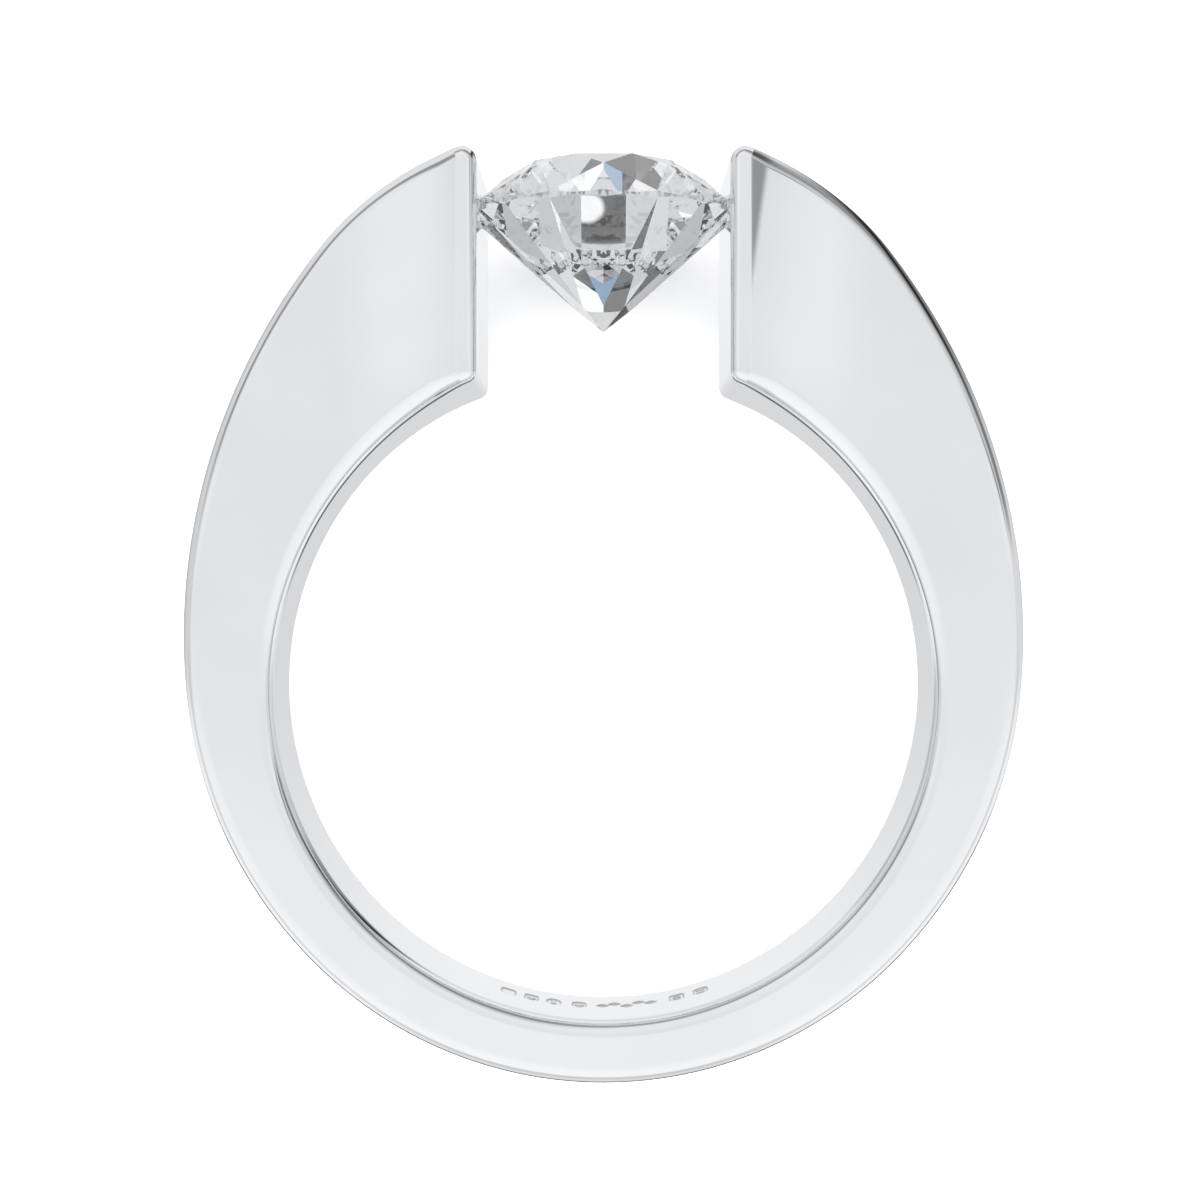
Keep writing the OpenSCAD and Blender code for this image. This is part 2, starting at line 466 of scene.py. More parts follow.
@dataclass(frozen=True)
class Band:
    """The one-piece band: shank, shoulders, head and end faces.

    Seen along the finger, its right half has three edges. The outer one runs from the top
    corner round to the back, the end one down the end face, and the inner one from the
    heel round the finger hole to the back. The left half is the same, mirrored.

    The blends are the lengths over which a rim's radius changes. The counts lay out the
    mesh. Its rows beside the land stand off its outer line by the steps of beside_land, in
    micrometres, and those beside the seat off its middle by the steps of beside_seat.
    """

    bore_r: float = 8.3 * MM
    shank_t: float = 1.6 * MM
    shank_w: float = 3.74 * MM
    head_w: float = 6.32 * MM
    back_r: float = 10.3 * MM
    low_side_r: float = 11.1 * MM
    shoulder_r: float = 15.6 * MM
    crown_r: float = 7.0 * MM
    low_side_from: float = -47.0
    shoulder_from: float = -4.5
    crown_from: float = 38.3
    gap_w: float = 6.24 * MM
    land_w: float = 0.48 * MM
    land_eased: float = 0.012 * MM
    top_corner_r: float = 0.35 * MM
    heel_r: float = 0.30 * MM
    outer_rim: float = 0.46 * MM
    end_rim: float = 0.33 * MM
    inner_rim: float = 0.40 * MM
    crown_blend: float = 0.8 * MM
    rim_blend: float = 1.0 * MM
    heel_slack: float = 0.01 * MM
    rim_steps: int = 10
    wall_steps: int = 10
    fan_rows: int = 8
    fan_share: float = 0.24
    lead_rows: int = 3
    rows_to_back: int = 150
    beside_land: tuple[float, ...] = (
        -40, -28, -20, -14, -10, -7, -4.5, -2, 0, 2, 4.5, 7, 10, 14, 20, 28, 38, 52, 70, 95,
        125, 160, 200, 250, 300, 350)
    corner_rows: int = 7
    beside_seat: tuple[float, ...] = (
        -0.64 * MM, -0.4 * MM, -0.13 * MM, 0.13 * MM, 0.4 * MM, 0.62 * MM)
    seat_grid: tuple[int, int] = (44, 84)
    seat_margin: Pair = (0.06 * MM, 0.05 * MM)
    seat: Seat = Seat()
    stamp_row: StampRow = StampRow()

    def half_width(self, x: Array, y: Array) -> Array:
        """Find half the band's width along the finger.

        Over the lands it is half the head's width. Beside them it follows one hollow arc
        that meets the shank's side level with the finger hole. The lower of the two is
        taken, with a small smooth blend where they cross. Below the finger hole's centre
        it is half the shank's width.

        Args:
            x: places across the ring.
            y: heights above the centre of the finger hole.

        Returns:
            Half widths.
        """
        low, high = self.shank_w / 2, self.head_w / 2
        run = self.bore_r - (self.gap_w / 2 + self.land_w)
        rise = high - low
        radius = (run ** 2 + rise ** 2) / (2 * rise)
        inside = np.minimum(np.abs(x) - self.bore_r, 0.0)
        arc = low + radius - np.sqrt(radius ** 2 - inside ** 2)
        k = self.land_eased
        share = np.maximum(k - np.abs(arc - high), 0.0) / k
        flared = np.minimum(arc, high) - share ** 2 * k / 4
        return np.where(y > 0.0, flared, low)

    def width_slope(self, x: Array, y: Array) -> Array:
        """Return how fast the half width grows along X."""
        d = 1e-5 * MM
        return (self.half_width(x + d, y) - self.half_width(x - d, y)) / (2 * d)

    def edges(self) -> tuple[Edge, Edge, Edge]:
        """Work out the three edges of the right half.

        Neighbouring arcs touch where their angles meet, so each centre lies on the line
        between the last one and that point.

        Returns:
            The outer, end and inner edges.
        """
        def next_centre(centre: Array, r0: float, r1: float, deg: float) -> Array:
            """Return the centre of the arc that follows one with radius r0 at an angle."""
            return centre + (r0 - r1) * unit(np.radians(deg))

        back = np.array([0.0, self.back_r - self.bore_r - self.shank_t])
        low = next_centre(back, self.back_r, self.low_side_r, self.low_side_from)
        shoulder = next_centre(low, self.low_side_r, self.shoulder_r, self.shoulder_from)
        crown = next_centre(shoulder, self.shoulder_r, self.crown_r, self.crown_from)
        corner_x = self.gap_w / 2 + self.top_corner_r
        corner_y = crown[1] + np.sqrt((self.crown_r - self.top_corner_r) ** 2
                                      - (corner_x - crown[0]) ** 2)
        corner = np.array([corner_x, corner_y])
        corner_deg = float(np.degrees(np.arctan2(corner_y - crown[1], corner_x - crown[0])))
        heel_x = self.gap_w / 2 + self.heel_r
        heel = np.array([heel_x, np.sqrt((self.bore_r + self.heel_r) ** 2 - heel_x ** 2)])
        heel_deg = float(np.degrees(np.arctan2(heel[1], heel[0])))
        corner_mid = (corner_deg + 180.0) / 2
        heel_mid = 180.0 + heel_deg / 2
        drop = corner[1] - heel[1]
        corner_len = self.top_corner_r * np.radians(corner_mid - corner_deg)
        end_corner_len = self.top_corner_r * np.radians(180.0 - corner_mid)
        heel_len = self.heel_r * np.radians(heel_deg / 2)
        heel_rim = self.heel_r - self.heel_slack
        outer = Edge(
            [Piece(tuple(corner), self.top_corner_r, corner_mid, corner_deg),
             Piece(tuple(crown), self.crown_r, corner_deg, self.crown_from),
             Piece(tuple(shoulder), self.shoulder_r, self.crown_from, self.shoulder_from),
             Piece(tuple(low), self.low_side_r, self.shoulder_from, self.low_side_from),
             Piece(tuple(back), self.back_r, self.low_side_from, -90.0)],
            [(0.5 * corner_len, self.end_rim),
             (corner_len + self.crown_blend, self.outer_rim)], 1.0)
        end = Edge(
            [Piece(tuple(corner), self.top_corner_r, corner_mid, 180.0),
             Piece((self.gap_w / 2, corner[1]), 0.0, 180.0, 180.0, run=(0.0, -1.0),
                   run_length=drop),
             Piece(tuple(heel), self.heel_r, 180.0, heel_mid)],
            [(end_corner_len + self.rim_blend, self.end_rim),
             (end_corner_len + drop, heel_rim)], -1.0)
        inner = Edge(
            [Piece(tuple(heel), self.heel_r, heel_mid, 180.0 + heel_deg),
             Piece((0.0, 0.0), self.bore_r, heel_deg, -90.0, Turn.HOLLOW)],
            [(heel_len, heel_rim), (heel_len + self.rim_blend, self.inner_rim)], -1.0)
        return outer, end, inner

    def shell(self, edge: Edge, s: Array, v: Array) -> Array:
        """Find points on the band's eased rims and on the wall between them.

        At each place along the edge the section is a quarter turn of the rim's radius,
        tangent to the side face and to the wall, then the wall down to the middle plane,
        and then the same again, mirrored. The quarter's centre is found by following the
        side face's slope to the point of contact.

        Args:
            edge: the edge that the shell follows.
            s: lengths along the edge.
            v: 0 at the front side face, 1 where the wall starts, 2 on the middle plane, 3
                where the wall ends and 4 at the back side face.

        Returns:
            Points with a last axis of three.
        """
        brink, normal = edge.at(s)
        r = edge.rim_radius(s)
        depth = r.copy()
        for _ in range(6):
            inside = brink - depth[..., None] * normal
            slope = -self.width_slope(inside[..., 0], inside[..., 1]) * normal[..., 0]
            depth = r - r * slope / np.hypot(1.0, slope)
        inside = brink - depth[..., None] * normal
        top = self.half_width(inside[..., 0], inside[..., 1]) - r / np.hypot(1.0, slope)
        front = np.minimum(v, 4.0 - v)
        start = np.arctan(slope)
        angle = start + (np.pi / 2 - start) * np.minimum(front, 1.0)
        down = np.maximum(front - 1.0, 0.0)
        inward = r - r * np.sin(angle)
        z = (top + r * np.cos(angle)) * (1.0 - down)
        flat = brink - inward[..., None] * normal
        return np.concatenate([flat, (z * np.where(v > 2.0, -1.0, 1.0))[..., None]], axis=-1)

    def stations(self, outer: Edge, inner: Edge) -> tuple[Array, Array]:
        """Choose the places along the outer and inner edges that side-face rows join.

        Round the corner and the heel the rows fan evenly. Beside the land they stand
        upright, so that its outer line falls on one row, and from there to the back the
        two edges are shared out evenly. An upright row's length along each edge is looked
        up by its X in a fine table of the 1.6 mm after the corner or the heel.

        Args:
            outer: the outer edge.
            inner: the inner edge.

        Returns:
            Lengths along the outer and the inner edge, in pairs.
        """
        land_x = self.gap_w / 2 + self.land_w
        upright = land_x + np.array(self.beside_land) * 1e-3 * MM
        pairs = []
        for edge in (outer, inner):
            table = np.linspace(edge.ends[1], edge.ends[1] + 1.6 * MM, 3000)
            x = self.shell(edge, table, np.zeros_like(table))[..., 0]
            x = np.maximum.accumulate(x + np.arange(len(x)) * 1e-12)
            lead = np.linspace(x[0], upright[0], self.lead_rows + 1)[:-1]
            standing = np.interp(np.concatenate([lead, upright]), x, table)
            fan = np.linspace(0.0, edge.ends[1], self.fan_rows + 1)
            rest = np.linspace(standing[-1], edge.length(), self.rows_to_back)
            pairs.append(np.concatenate([fan[:-1], standing, rest[1:]]))
        return pairs[0], pairs[1]

    def end_rows(self, end: Edge) -> Array:
        """Choose the places along the end face's edge.

        The first rows go round the top corner, one lies below it, and the next ones stand
        beside the seat. The rest go down to the heel and round it.

        Args:
            end: the end edge.

        Returns:
            Lengths along the edge.
        """
        top = end.ends[1]
        level = top + (end.at(np.array([top]))[0][0, 1] - self.seat.height)
        beside = level + np.array(self.beside_seat)
        foot = end.ends[2] - 0.5 * MM
        return np.concatenate([
            np.linspace(0.0, top, self.corner_rows), [(top + beside[0]) / 2], beside,
            np.linspace(beside[-1], foot, 13)[1:],
            np.linspace(foot, end.ends[2], 4)[1:],
            np.linspace(end.ends[2], end.length(), 6)[1:],
        ])

    def build(self, place: Place) -> bpy.types.Object:
        """Make the band's mesh and object.

        Args:
            place: where the ring's axes stand.

        Returns:
            The new object, which rides and stands for the solid.
        """
        skin = Skin()
        for side in (1.0, -1.0):
            Half(self, skin, side).build()
        piece = bpy.data.objects.new("band_polished", skin.mesh("band_polished", place))
        bpy.context.scene.collection.objects.link(piece)
        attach(piece, "root")
        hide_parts("band")
        return piece


@dataclass
class Half:
    """The right half of the band's mesh in the making, or its mirror image on the left.

    Attributes:
        band: the band's sizes and surfaces.
        skin: the mesh that the half is added to.
        side: +1 on the right and -1 on the left.
    """

    band: Band
    skin: Skin
    side: float

    def build(self) -> None:
        """Add the shells of the three edges, what fills their windows, and the side faces.

        The seat's window leaves two of the wall's columns on either side. The stamps' one
        leaves three in front and one behind, since the row lies behind the middle.
        """
        band = self.band
        outer, end, inner = band.edges()
        outer_s, inner_s = band.stations(outer, inner)
        end_s = band.end_rows(end)
        wall_to = band.rim_steps + band.wall_steps
        seat_from = band.corner_rows + 1
        seat = (slice(seat_from, seat_from + len(band.beside_seat)),
                slice(band.rim_steps + 2, wall_to - 1))
        stamps_from = inner.length() - band.stamp_row.half_length - band.stamp_row.margin
        stamps = (slice(int(np.searchsorted(inner_s, stamps_from)) - 1, len(inner_s)),
                  slice(band.rim_steps + 3, wall_to))
        _, outer_points = self.add_shell(outer, outer_s)
        end_ids, end_points = self.add_shell(end, end_s, seat)
        self.add_seat(end_ids, end_points, seat)
        inner_ids, inner_points = self.add_shell(inner, inner_s, stamps)
        self.add_stamps(inner_ids, stamps)
        self.add_side_faces(outer_points[:, 0], inner_points[:, 0], end_points[:, 0])

    def add_shell(self, edge: Edge, s: Array,
                  window: Union[Window, None] = None) -> tuple[Array, Array]:
        """Add the rims and wall along one edge.

        Args:
            edge: the edge to follow.
            s: lengths along the edge.
            window: rows and columns of points with no faces between them, if any.

        Returns:
            Point numbers and points in rows along the edge and columns across.
        """
        rim = np.linspace(0.0, 1.0, self.band.rim_steps + 1)
        wall = np.linspace(1.0, 3.0, self.band.wall_steps + 1)
        v = np.concatenate([rim[:-1], wall, 4.0 - rim[::-1][1:]])
        keep = np.ones((len(s) - 1, len(v) - 1), bool)
        if window:
            keep[tuple(slice(part.start, part.stop - 1) for part in window)] = False
        mirror = np.array([self.side, 1.0, 1.0])

        def surface(a: Array, b: Array) -> Array:
            """Return points of the shell on this side of the ring."""
            return self.band.shell(edge, a, b) * mirror

        u, w = np.meshgrid(s, v, indexing="ij")
        points = surface(u, w)
        sign = edge.outward * self.side
        normals = surface_normals(surface, u, w, sign, 1e-4 * MM, 1e-4)
        return self.skin.add_grid(points, normals, sign < 0, keep), points

    def add_side_faces(self, outer: Array, inner: Array, end: Array) -> None:
        """Add the front and back side faces between the rims.

        A point lies on the straight line between the two rims' brinks, at the share of
        the way that the end face's rows give, and its height is the half width there.
        The rows that fan out from the end face are a patch between its brink and the
        first upright row: the sum of the blends either way, less the corners' blend.

        Args:
            outer: points of the outer brink, for one face.
            inner: points of the inner brink.
            end: points of the end face's brink, from the top corner to the heel.
        """
        band = self.band
        steps = np.linalg.norm(np.diff(end, axis=0), axis=-1)
        share = np.concatenate([[0.0], np.cumsum(steps)])
        share = (share / share[-1])[None, :, None]
        points = outer[:, None] * (1.0 - share) + inner[:, None] * share
        last = band.fan_rows + band.lead_rows
        f = np.concatenate([np.linspace(0.0, band.fan_share, band.fan_rows + 1)[:-1],
                            np.linspace(band.fan_share, 1.0, band.lead_rows + 1)])
        f = f[:, None, None]
        corners = (1.0 - share) * ((1.0 - f) * end[0] + f * outer[last])
        corners = corners + share * ((1.0 - f) * end[-1] + f * inner[last])
        points[:last + 1] += (1.0 - f) * end + f * points[last] - corners
        points[:, 0] = outer
        points[:, -1] = inner
        points[0] = end
        x, y = points[..., 0], points[..., 1]
        points[1:, 1:-1, 2] = band.half_width(x, y)[1:, 1:-1]
        slope = band.width_slope(x, y)
        normals = np.stack([-slope, np.zeros_like(slope), np.ones_like(slope)], axis=-1)
        normals /= np.linalg.norm(normals, axis=-1, keepdims=True)
        for face in (1.0, -1.0):
            flip = np.array([1.0, 1.0, face])
            self.skin.add_grid(points * flip, normals * flip, self.side * face > 0)

    def add_seat(self, ids: Array, points: Array, window: Window) -> None:
        """Fill the window in the end face with the seat's groove.

        The groove is a grid over height and width whose X is the end face's distance plus
        the groove's depth.

        Args:
            ids: point numbers of the end face's shell.
            points: its points.
            window: rows from above the seat to below it, and columns from front to back.
        """
        band = self.band
        border = points[window]
        y0, y1 = border[[0, -1], 0, 1]
        z0, z1 = border[0, [0, -1], 2]
        y = np.linspace(y0 - band.seat_margin[0], y1 + band.seat_margin[0], band.seat_grid[0])
        z = np.linspace(z0 - band.seat_margin[1], z1 + band.seat_margin[1], band.seat_grid[1])
        face_x = band.gap_w / 2

        def surface(a: Array, b: Array) -> Array:
            """Return points of the end face with the groove cut in."""
            x = face_x + band.seat.depth(face_x, a, b)
            return np.stack([self.side * x, a, b], axis=-1)

        u, w = np.meshgrid(y, z, indexing="ij")
        normals = surface_normals(surface, u, w, -self.side)
        inner = self.skin.add_grid(surface(u, w), normals, self.side > 0)
        self.skin.stitch(*ring_of(ids[window]), *ring_of(inner), self.side > 0)

    def add_stamps(self, ids: Array, window: Window) -> None:
        """Fill the window in the finger hole's wall with the stamped strip.

        The strip is a grid over the length round the wall and the place along the finger,
        whose radius is the finger hole's plus the stamps' depth.

        Args:
            ids: point numbers of the inner shell.
            window: rows down to the shell's last one, and columns from front to back.
        """
        bore_r, row = self.band.bore_r, self.band.stamp_row
        a = np.linspace(row.half_length, 0.0, int(row.half_length / row.step) + 1)
        z = np.linspace(row.middle_z + row.half_width, row.middle_z - row.half_width,
                        int(2 * row.half_width / row.step) + 1)

        def surface(b: Array, c: Array) -> Array:
            """Find points of the wall with the stamps cut in.

            Args:
                b: lengths round the wall, measured from the middle of the back.
                c: places along the finger.

            Returns:
                Points with a last axis of three.
            """
            around = -np.pi / 2 + self.side * b / bore_r
            flat = (bore_r + row.relief(self.side * b, c))[..., None] * unit(around)
            return np.concatenate([flat, c[..., None]], axis=-1)

        u, w = np.meshgrid(a, z, indexing="ij")
        normals = surface_normals(surface, u, w, -self.side)
        inner = self.skin.add_grid(surface(u, w), normals, self.side > 0,
                                   stamp_haze_and_shade=row.stamp_haze_and_shade(self.side * u, w))
        self.skin.stitch(*open_ring_of(ids[window]), *open_ring_of(inner), self.side < 0)


def walk_along(sides: Sequence[Array]) -> tuple[Array, Array]:
    """Walk along sides of a grid, each starting where the last one ends.

    Args:
        sides: the point numbers of each side.

    Returns:
        The numbers along the walk, and their places, which rise by 1 along each side.
    """
    walk = np.concatenate([side[:-1] for side in sides] + [sides[-1][-1:]])
    steps = [k + np.arange(len(side) - 1) / (len(side) - 1) for k, side in enumerate(sides)]
    return walk, np.concatenate(steps + [np.array([float(len(sides))])])


def ring_of(ids: Array) -> tuple[Array, Array]:
    """Walk once round the border of a grid of point numbers, back to the first."""
    return walk_along((ids[:, 0], ids[-1, :], ids[::-1, -1], ids[0, ::-1]))


def open_ring_of(ids: Array) -> tuple[Array, Array]:
    """Walk round three sides of a grid of point numbers, leaving out its last row."""
    return walk_along((ids[::-1, 0], ids[0, :], ids[:, -1]))


Value = Union["Sock", float, int]


def arithmetic(operation: str, swapped: bool = False) -> Callable[["Sock", "Value"], "Sock"]:
    """Make a method of Sock that adds one Math node.

    Args:
        operation: the node's operation.
        swapped: whether the other value comes first.

    Returns:
        The method.
    """
    def method(self: "Sock", other: "Value") -> "Sock":
        """Return the operation's result for self and the other value."""
        return self.tree.maths(operation, *((other, self) if swapped else (self, other)))

    return method


class Sock:
    """A number that flows through a node tree. Arithmetic on it adds Math nodes."""

    def __init__(self, tree: "Tree", socket: bpy.types.NodeSocket) -> None:
        """Wrap an output socket of a tree."""
        self.tree = tree
        self.socket = socket

    __add__ = arithmetic("ADD")
    __radd__ = arithmetic("ADD", swapped=True)
    __sub__ = arithmetic("SUBTRACT")
    __rsub__ = arithmetic("SUBTRACT", swapped=True)
    __mul__ = arithmetic("MULTIPLY")
    __rmul__ = arithmetic("MULTIPLY", swapped=True)
    __truediv__ = arithmetic("DIVIDE")
    __rtruediv__ = arithmetic("DIVIDE", swapped=True)
    minimum = arithmetic("MINIMUM")

    def absolute(self) -> "Sock":
        """Return self without its sign."""
        return self.tree.maths("ABSOLUTE", self)

    def step(self, low: float, high: float) -> "Sock":
        """Rise smoothly from 0 at one value to 1 at another.

        Args:
            low: value where the step starts. It may be the larger one.
            high: value where the step ends.

        Returns:
            The smooth step.
        """
        ramp = self.tree.node("ShaderNodeMapRange", {"interpolation_type": "SMOOTHSTEP"}, {
            "Value": self, "From Min": low, "From Max": high})
        return Sock(self.tree, ramp.outputs["Result"])

    def window(self, low: float, high: float, soft: float) -> "Sock":
        """Return 1 between two values and 0 outside, with soft borders."""
        return self.step(low - soft, low + soft) * self.step(high + soft, high - soft)


class Tree:
    """A node tree that is written as Python expressions."""

    def __init__(self, tree: bpy.types.NodeTree) -> None:
        """Empty a tree and take it over."""
        tree.nodes.clear()
        self.tree = tree

    def node(self, kind: str, settings: Union[Mapping[str, Any], None] = None,
             inputs: Union[Mapping[Union[str, int], Any], None] = None) -> bpy.types.Node:
        """Add a node.

        Args:
            kind: the node's type.
            settings: properties, which are set first.
            inputs: values or links for its sockets, by name or number.

        Returns:
            The new node.
        """
        node = self.tree.nodes.new(kind)
        for name, value in (settings or {}).items():
            setattr(node, name, value)
        for name, value in (inputs or {}).items():
            if isinstance(value, Sock):
                value = value.socket
            if isinstance(value, bpy.types.NodeSocket):
                self.tree.links.new(value, node.inputs[name])
            else:
                node.inputs[name].default_value = value
        return node

    def maths(self, operation: str, *values: Value) -> Sock:
        """Return the result of a Math node."""
        node = self.node("ShaderNodeMath", {"operation": operation}, dict(enumerate(values)))
        return Sock(self, node.outputs[0])

    def dot(self, vector: bpy.types.NodeSocket, constant: Sequence[float]) -> Sock:
        """Return the dot product of a vector and a constant one."""
        node = self.node("ShaderNodeVectorMath", {"operation": "DOT_PRODUCT"},
                         {0: vector, 1: tuple(constant)})
        return Sock(self, node.outputs["Value"])

    def noise(self, vector: bpy.types.NodeSocket, scale: float, detail: float) -> Sock:
        """Return smooth noise between 0 and 1 over a vector."""
        node = self.node("ShaderNodeTexNoise", {},
                         {"Vector": vector, "Scale": scale, "Detail": detail})
        return Sock(self, node.outputs["Fac"])

    def mix(self, factor: Value, first: Any, second: Any) -> bpy.types.NodeSocket:
        """Return a blend of two colours."""
        node = self.node("ShaderNodeMix", {"data_type": "RGBA"},
                         {"Factor": factor, 6: first, 7: second})
        return node.outputs[2]

    def here(self) -> bpy.types.NodeSocket:
        """Return the place on the piece, in its own axes."""
        return self.node("ShaderNodeTexCoord").outputs["Object"]

    def finish(self, inputs: Mapping[str, Any]) -> None:
        """End a material in a Principled shader with these inputs."""
        surface = self.node("ShaderNodeBsdfPrincipled", {}, inputs)
        self.node("ShaderNodeOutputMaterial", {}, {"Surface": surface.outputs["BSDF"]})


def new_material(name: str) -> tuple[bpy.types.Material, Tree]:
    """Make a material.

    Args:
        name: the material's name.

    Returns:
        The material and its empty tree.
    """
    material = bpy.data.materials.new(name)
    material.use_nodes = True
    return material, Tree(material.node_tree)


@dataclass(frozen=True)
class PolishedMetal:
    """Mirror-polished white metal with the faint haze that a buff leaves, hazier where the stamps'
    tool has marked it, and with painted shade darkening the stamps' slopes and floors."""

    tone: Colour = (0.895, 0.900, 0.908)
    shade: Colour = (0.865, 0.871, 0.882)
    # Painted shade: the grey that darkens the stamps' slopes and floors
    stamp_shade: Colour = (0.33, 0.34, 0.35)
    stamp_shade_share: float = 0.85
    roughness: float = 0.03
    haze: float = 0.035
    marked_haze: float = 0.3
    cloud_scale: float = 260.0
    grain_scale: float = 2600.0
    grain_squeeze: float = 9.0
    bump: float = 0.012
    bump_height: float = 2e-6

    def material(self) -> bpy.types.Material:
        """Build the finish: broad clouds of tone and haze, a fine grain round the ring, and painted
        shade darkening the stamps.

        Returns:
            The material.
        """
        material, tree = new_material("white_metal_polish")
        here = tree.here()
        cloud = tree.noise(here, self.cloud_scale, 3.0)
        buffed = tree.node("ShaderNodeMapping", {}, {
            "Vector": here, "Scale": (1.0, 1.0, self.grain_squeeze)})
        grain = tree.noise(buffed.outputs["Vector"], self.grain_scale, 4.0)
        stamp_haze_and_shade = Sock(tree, tree.node("ShaderNodeAttribute", {"attribute_name": "stamp_haze_and_shade"})
                     .outputs["Fac"]).minimum(1.0)
        colour = tree.mix(cloud.step(0.3, 0.7), (*self.tone, 1.0), (*self.shade, 1.0))
        # Painted shade: the stamps' slopes and floors are darkened toward the grey
        colour = tree.mix(stamp_haze_and_shade * self.stamp_shade_share, colour, (*self.stamp_shade, 1.0))
        rough = self.roughness + self.haze * cloud.step(0.4, 0.75) * grain
        bump = tree.node("ShaderNodeBump", {}, {
            "Strength": self.bump, "Distance": self.bump_height, "Height": grain})
        tree.finish({"Base Color": colour, "Metallic": 1.0,
                     "Roughness": rough + self.marked_haze * stamp_haze_and_shade,
                     "Normal": bump.outputs["Normal"]})
        return material


@dataclass(frozen=True)
class ClearStone:
    """A colourless stone of high index, polished but for the faintly frosted girdle."""

    index: float = 2.417
    tint: Colour = (0.985, 0.99, 1.0)
    frost: float = 0.05
    frost_inset: Pair = (0.05 * MM, 0.02 * MM)
    grain_scale: float = 9000.0

    def material(self, place: Place, girdle: Girdle) -> bpy.types.Material:
        """Build the finish. The frost lies within the girdle's thickness and at its radius.

        Args:
            place: where the ring's axes stand.
            girdle: the stone's girdle.

        Returns:
            The material.
        """
        material, tree = new_material("clear_brilliant")
        here = tree.here()
        up, along = place.axes[1], place.axes[2]
        height = tree.dot(here, up) - (girdle.height + float(place.origin @ up))
        x = tree.dot(here, place.axes[0])
        z = tree.dot(here, along) - float(place.origin @ along)
        radius = tree.maths("SQRT", x * x + z * z)
        half = girdle.thickness / 2
        edge = height.absolute().step(half * 1.1, half * 0.9)
        edge = edge * radius.step(*(girdle.radius - inset for inset in self.frost_inset))
        grain = tree.noise(here, self.grain_scale, 2.0)
        tree.finish({"Base Color": (*self.tint, 1.0), "Metallic": 0.0, "IOR": self.index,
                     "Transmission Weight": 1.0,
                     "Roughness": edge * self.frost * (0.5 + grain)})
        return material


@dataclass(frozen=True)
class PaleFloor:
    """A plain pale floor with the faintest grain."""

    tone: Colour = (0.93, 0.93, 0.935)
    shade: Colour = (0.9, 0.9, 0.905)
    shade_share: float = 0.06
    grain_scale: float = 900.0
    roughness: float = 0.55
    sheen_level: float = 0.15

    def material(self) -> bpy.types.Material:
        """Build the finish.

        Returns:
            The material.
        """
        material, tree = new_material("pale_floor")
        grain = tree.noise(tree.here(), self.grain_scale, 3.0)
        colour = tree.mix(grain * self.shade_share, (*self.tone, 1.0), (*self.shade, 1.0))
        tree.finish({"Base Color": colour, "Roughness": self.roughness,
                     "Specular IOR Level": self.sheen_level})
        return material


@dataclass(frozen=True)
class Stone:
    """The round brilliant, which keeps its own solid."""

    girdle: Girdle = Girdle()
    finish: ClearStone = ClearStone()

    def dress(self, node: bpy.types.Object, place: Place) -> None:
        """Give the solid its finish.

        Args:
            node: the stone's object in the frame.
            place: where the ring's axes stand.
        """
        node.data.materials.clear()
        node.data.materials.append(self.finish.material(place, self.girdle))


@dataclass(frozen=True)
class Card:
    """A dark card with soft edges that the metal mirrors.

    It is placed by direction in the ring's own axes: its turn is the angle round from the
    ring's right, or from its left where it stands there, and its lift is the angle above
    the ring's plane. All angles are in degrees.

    Attributes:
        turn: where it starts and ends round the ring.
        turn_soft: half the width of those two borders.
        foot: lifts between which it grows dark.
        head: lifts between which it fades again.
        depth: share of the light that it takes.
        on_left: whether its turn counts from the left.
        lean: how far it leans round the ring for each degree of lift.
    """

    turn: Pair
    turn_soft: float
    foot: Pair
    head: Pair
    depth: float
    on_left: bool = False
    lean: float = 0.0

    def passed(self, right: Sock, left: Sock, lift: Sock) -> Sock:
        """Find how much light gets past the card.

        Args:
            right: the direction's angle round from the ring's right.
            left: the same, from its left.
            lift: the direction's angle above the ring's plane.

        Returns:
            Share of the light, 1 outside the card.
        """
        turn = left if self.on_left else right
        if self.lean:
            turn = turn - self.lean * (lift - self.foot[1])
        across = turn.window(*self.turn, self.turn_soft)
        up = lift.step(*self.foot) * lift.step(self.head[1], self.head[0])
        return 1.0 - self.depth * across * up


class Shade(Enum):
    """How bright a patch is that shows through the stone."""

    BLACK = 0.0
    GREY = 0.5
    BLUE = 0.52
    WHITE = 1.15


@dataclass(frozen=True)
class Spot:
    """A round patch of light or shade that shows through the stone.

    It is placed by the two cosines of its direction, across the ring and up it, and lies
    below the ring's plane unless it is said to be above. The reach is half its size on
    each cosine.
    """

    shade: Shade
    middle: Pair
    reach: Pair
    above: bool = False

    def share(self, x: Sock, y: Sock, below: Sock) -> Sock:
        """Find how far a direction lies in the patch.

        Args:
            x: the direction's cosine across the ring.
            y: the direction's cosine up the ring.
            below: 1 below the ring's plane and 0 above it.

        Returns:
            1 in the patch and 0 outside, with a soft border from 0.8 to 1.2 of its reach.
        """
        dx = (x - self.middle[0]) / self.reach[0]
        dy = (y - self.middle[1]) / self.reach[1]
        inside = (dx * dx + dy * dy).step(1.2 ** 2, 0.8 ** 2)
        return inside * (1.0 - below if self.above else below)


def spots_of(shade: Shade, above: bool, *spots: tuple[float, ...]) -> tuple[Spot, ...]:
    """Make patches of one shade.

    Args:
        shade: how bright they are.
        above: whether they lie above the ring's plane.
        spots: four numbers for each, the middle across and up the ring and the reach.

    Returns:
        The patches, in the same order.
    """
    return tuple(Spot(shade, spot[:2], spot[2:], above) for spot in spots)


